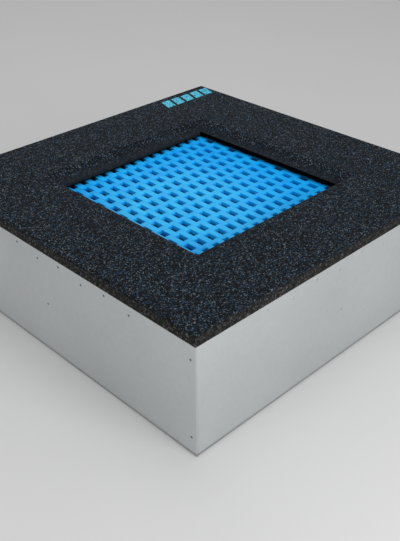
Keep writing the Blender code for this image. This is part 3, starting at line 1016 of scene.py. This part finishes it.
def rod_mesh(reach, y):
    """A plain round rod across the mat, with its ends eased."""
    profile = (
        (0.0, -reach),
        (ROD_RADIUS - ROD_EASE, -reach),
        (ROD_RADIUS, ROD_EASE - reach),
        (ROD_RADIUS, reach - ROD_EASE),
        (ROD_RADIUS - ROD_EASE, reach),
        (0.0, reach),
    )
    return along_x(turned(profile, ROD_SEGMENTS), 1, 0, y)


def joined(meshes):
    """One mesh of several."""
    build = bmesh.new()
    for mesh in meshes:
        build.from_mesh(mesh)
    return to_mesh(build, "joined")


def steel_finish(name, dark, light, roughness):
    """Drawn steel: a fine grain over slow changes of tone."""
    finish, tree, shader, place = blank_finish(name)
    tone = noise(tree, place, scale=25.0, detail=4.0)
    grain = noise(tree, place, scale=700.0, detail=2.0)
    low = roughness - STEEL_GLOSS_SPREAD
    high = roughness + STEEL_GLOSS_SPREAD
    inputs = {
        "Metallic": 1.0,
        "Base Color": colour_ramp(tree, tone, [(NOISE_LOW, dark), (NOISE_HIGH, light)]),
        "Roughness": value_range(tree, grain, NOISE_LOW, NOISE_HIGH, low, high),
    }
    set_inputs(tree, shader, inputs)
    return finish


def rod_ending(number):
    """What a rod's two ends have, from its number."""
    if number % 2:
        return "eye"
    if number < 0:
        return "flush"
    return "plain" if number == ROWS_EACH_WAY else "collar"


rod_steel = steel_finish(
    "rod_steel", dark=(0.42, 0.43, 0.44), light=(0.58, 0.59, 0.60), roughness=0.32
)
for number in [0, *row_numbers]:
    ending = rod_ending(number)
    reach = MAT_HALF - COLUMN_PITCH if ending == "flush" else MAT_HALF
    y = rod_place(number)
    meshes = [rod_mesh(reach + GAP * (ending in ("eye", "collar")), y)]
    for hand in (-1, 1):
        if ending == "eye":
            meshes.append(eye_mesh(hand, y))
        if ending == "collar":
            meshes.append(collar_mesh(hand, y))
    body = mat_body(number)
    rod_name = f"rod_{half_name(number)}_{abs(number)}" if number else "rod_middle"
    rod = add_piece(rod_name, joined(meshes), rod_steel)
    shade_round(rod.data, ROD_CREASE)
    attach(rod, body)
    if not number:
        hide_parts("mat_middle_rod")


# Springs
# Tension springs of 3 mm wire, wound 22 mm wide. One end hooks over the bar of a rod's eye, or over
# the mat's edge rod, and the other through a hole in the rail's strip.

WIRE_RADIUS = 0.0015
COIL_RADIUS = 0.0095
COIL_SETBACK = 0.021
COIL_PITCH = 0.0036
TURN_POINTS = 12
WIRE_SIDES = 6
HOOK_BEND = 0.003
STRIP_BAR = 0.5457
STRIP_EDGE = 0.008
STRIP_THICKNESS = 0.005
EYE_BAR_MIDDLE = EYE_START + EYE_LENGTH - EYE_BAR / 2
SPRUNG_RODS = (-5, -3, -1, 1, 3, 5)
EDGE_SPRING_COLUMNS = {"front": (-10, -4, 4, 10), "back": (-9, -3, 3, 9)}


def wire_path(span, bar_width, bar_height):
    """A spring's centre line, from the mat's bar at the origin to the rail's bar at the span."""
    clear = GAP + WIRE_RADIUS
    mat_hook = -bar_width / 2 - clear
    mat_over = bar_height / 2 + clear
    rail_hook = span + STRIP_EDGE / 2 + clear
    rail_over = STRIP_THICKNESS / 2 + clear
    inner = rounded_outline(
        [
            (mat_hook, -bar_height / 2, 0),
            (mat_hook, mat_over, HOOK_BEND),
            (COIL_SETBACK, mat_over, 0),
        ]
    )
    outer = rounded_outline(
        [
            (span - COIL_SETBACK, rail_over, 0),
            (rail_hook, rail_over, HOOK_BEND / 2),
            (rail_hook, -STRIP_THICKNESS / 2, 0),
        ]
    )
    length = span - 2 * COIL_SETBACK
    count = round(length / COIL_PITCH) * TURN_POINTS
    turn = 2 * math.pi / TURN_POINTS
    path = [(along, 0.0, up) for along, up in inner[:-1]]
    for i in range(count + 1):
        along = COIL_SETBACK + length * i / count
        path.append((along, COIL_RADIUS * math.sin(i * turn), COIL_RADIUS * math.cos(i * turn)))
    path += [(along, 0.0, up) for along, up in outer[1:]]
    return [Vector(point) for point in path]


def wire_tree():
    """A round wire along each chain of edges."""
    sockets = {"Radius": "Float", "Sides": "Int", "Finish": "Material"}
    tree, given, result = blank_tree("wound_wire", sockets)
    path = add_node(tree, "GeometryNodeMeshToCurve", {"Mesh": given["Pattern"]})
    section = add_node(
        tree,
        "GeometryNodeCurvePrimitiveCircle",
        {"Resolution": given["Sides"], "Radius": given["Radius"]},
    )
    wire = add_node(
        tree,
        "GeometryNodeCurveToMesh",
        {"Curve": path.outputs[0], "Profile Curve": section.outputs[0], "Fill Caps": True},
    )
    finish_tree(tree, wire.outputs[0], given["Finish"], result)
    return tree


def paths_mesh(paths):
    """A mesh of edges only, one chain for each path."""
    points = []
    edges = []
    for path in paths:
        start = len(points)
        points += path
        edges += [(start + i, start + i + 1) for i in range(len(path) - 1)]
    mesh = bpy.data.meshes.new("paths")
    mesh.from_pydata(points, edges, [])
    return mesh


spring_steel = steel_finish(
    "spring_wire", dark=(0.48, 0.49, 0.50), light=(0.64, 0.65, 0.66), roughness=0.28
)
winding = wire_tree()


def add_spring(name, path, places, outwards, mat_bar, nodes):
    """Springs along one direction out, which stretch between the rail and the mat."""
    turn = Matrix.Rotation(outwards, 4, "Z")
    paths = []
    for place in places:
        set_down = Matrix.Translation(place) @ turn @ Matrix.Translation((mat_bar, 0, 0))
        paths.append([set_down @ point for point in path])
    values = {"Radius": WIRE_RADIUS, "Sides": WIRE_SIDES, "Finish": spring_steel}
    spring = grow(name, paths_mesh(paths), winding, values)
    spring.data.shade_smooth()
    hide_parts(*nodes)
    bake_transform(spring)


side_path = wire_path(STRIP_BAR - EYE_BAR_MIDDLE, EYE_BAR, EYE_THICKNESS)
for side, outwards in (("left", math.pi), ("right", 0.0)):
    for count, rod_number in enumerate(SPRUNG_RODS, 1):
        add_spring(
            f"coil_{side}_{count}",
            side_path,
            [(0, rod_place(rod_number), ROD_LEVEL)],
            outwards,
            EYE_BAR_MIDDLE,
            [f"spring_{side}_{count}"],
        )
for side, outwards in (("front", -QUARTER_TURN), ("back", QUARTER_TURN)):
    edge_rod = abs(rod_place(math.copysign(ROWS_EACH_WAY, outwards)))
    spring_columns = EDGE_SPRING_COLUMNS[side]
    add_spring(
        f"coils_{side}",
        wire_path(STRIP_BAR - edge_rod, 2 * ROD_RADIUS, 2 * ROD_RADIUS),
        [(column * COLUMN_PITCH, 0, ROD_LEVEL) for column in spring_columns],
        outwards,
        edge_rod,
        [f"spring_{side}_{count}" for count in range(1, len(spring_columns) + 1)],
    )


# Studio
# A plain pale floor without an end, a dark blue sheet under the mat as painted shade seen through
# its holes, soft lights and an even sky. The camera stands at the height of a person's eyes and
# looks over the front left corner.

FLOOR_REACH = 30.0
FLOOR_COLOUR = (0.64, 0.64, 0.64)
FLOOR_MOTTLE = 0.985
FLOOR_ROUGHNESS = 0.9
FLOOR_SHINE = 0.1
# A dark blue sheet on the floor inside the box: painted shade seen through the mat's holes.
UNDER_MAT_SHADE_REACH = 0.54
UNDER_MAT_SHADE_COLOUR = (0.005, 0.060, 0.190)
SKY_COLOUR = (1.0, 1.0, 1.0, 1.0)
SKY_STRENGTH = 0.58
LIGHT_TARGET = (0.0, 0.0, 0.2)
LIGHTS = {
    "key_light": ((-0.35, -2.9, 1.25), 1.6, 40.4),
    "left_light": ((-3.2, -0.6, 1.4), 1.6, 17.4),
    "overhead_light": ((0.3, 0.3, 4.5), 2.0, 23.2),
    "back_light": ((1.6, 2.6, 4.2), 3.0, 17.3),
}
FOCAL_PIXELS = 812.2
PICTURE_HEIGHT = 541
SENSOR = 36.0
CAMERA_PLACE = (-1.6476, -1.692, 1.518)
CAMERA_YAW = math.radians(44.30)
CAMERA_PITCH = math.radians(32.17)
CAMERA_ROLL = math.radians(-0.41)
HALF_PIXEL = 0.5 / PICTURE_HEIGHT


def floor_finish(name, colour):
    """Matt studio paper with a trace of mottling."""
    finish, tree, shader, place = blank_finish(name)
    mottle = noise(tree, place, scale=1.5, detail=2.0)
    low = tuple(value * FLOOR_MOTTLE for value in colour)
    inputs = {
        "Base Color": colour_ramp(tree, mottle, [(NOISE_LOW, low), (NOISE_HIGH, colour)]),
        "Roughness": FLOOR_ROUGHNESS,
        "Specular IOR Level": FLOOR_SHINE,
    }
    set_inputs(tree, shader, inputs)
    return finish


def lay_floor(name, reach, level, colour):
    """A square of floor round the middle, which is no part of the object."""
    spots = [(-reach, -reach), (reach, -reach), (reach, reach), (-reach, reach)]
    mesh = bpy.data.meshes.new(name)
    mesh.from_pydata([(x, y, level) for x, y in spots], [], [(0, 1, 2, 3)])
    add_piece(name, mesh, floor_finish(name, colour))


lay_floor("studio_floor", FLOOR_REACH, 0.0, FLOOR_COLOUR)
# Painted shade: a dark blue sheet inside the box, seen through the mat's holes.
lay_floor("under_mat_painted_shade", UNDER_MAT_SHADE_REACH, GAP, UNDER_MAT_SHADE_COLOUR)

world = bpy.data.worlds.new("studio")
bpy.context.scene.world = world
world.use_nodes = True
sky = world.node_tree.nodes["Background"]
sky.inputs["Color"].default_value = SKY_COLOUR
sky.inputs["Strength"].default_value = SKY_STRENGTH


def area_light(name, place, target, size, power):
    """A square soft light that faces its target."""
    lamp = bpy.data.lights.new(name, "AREA")
    lamp.size = size
    lamp.energy = power
    holder = bpy.data.objects.new(name, lamp)
    holder.location = place
    holder.rotation_euler = (Vector(target) - Vector(place)).to_track_quat("-Z", "Y").to_euler()
    bpy.context.scene.collection.objects.link(holder)


for lamp_name, (place, size, power) in LIGHTS.items():
    area_light(lamp_name, place, LIGHT_TARGET, size, power)

forward = Vector(
    (
        math.sin(CAMERA_YAW) * math.cos(CAMERA_PITCH),
        math.cos(CAMERA_YAW) * math.cos(CAMERA_PITCH),
        -math.sin(CAMERA_PITCH),
    )
)
level_right = Vector((math.cos(CAMERA_YAW), -math.sin(CAMERA_YAW), 0.0))
level_up = level_right.cross(forward)
right = math.cos(CAMERA_ROLL) * level_right + math.sin(CAMERA_ROLL) * level_up
up = math.cos(CAMERA_ROLL) * level_up - math.sin(CAMERA_ROLL) * level_right
camera_data = bpy.data.cameras.new("camera")
camera_data.sensor_width = SENSOR
camera_data.lens = FOCAL_PIXELS * SENSOR / PICTURE_HEIGHT
camera_data.shift_x = -HALF_PIXEL
camera_data.shift_y = HALF_PIXEL
camera = bpy.data.objects.new("camera", camera_data)
camera_turn = Matrix((right, up, -forward)).transposed().to_4x4()
camera.matrix_world = Matrix.Translation(CAMERA_PLACE) @ camera_turn
bpy.context.scene.collection.objects.link(camera)
bpy.context.scene.camera = camera
bpy.context.scene.view_settings.view_transform = "Standard"
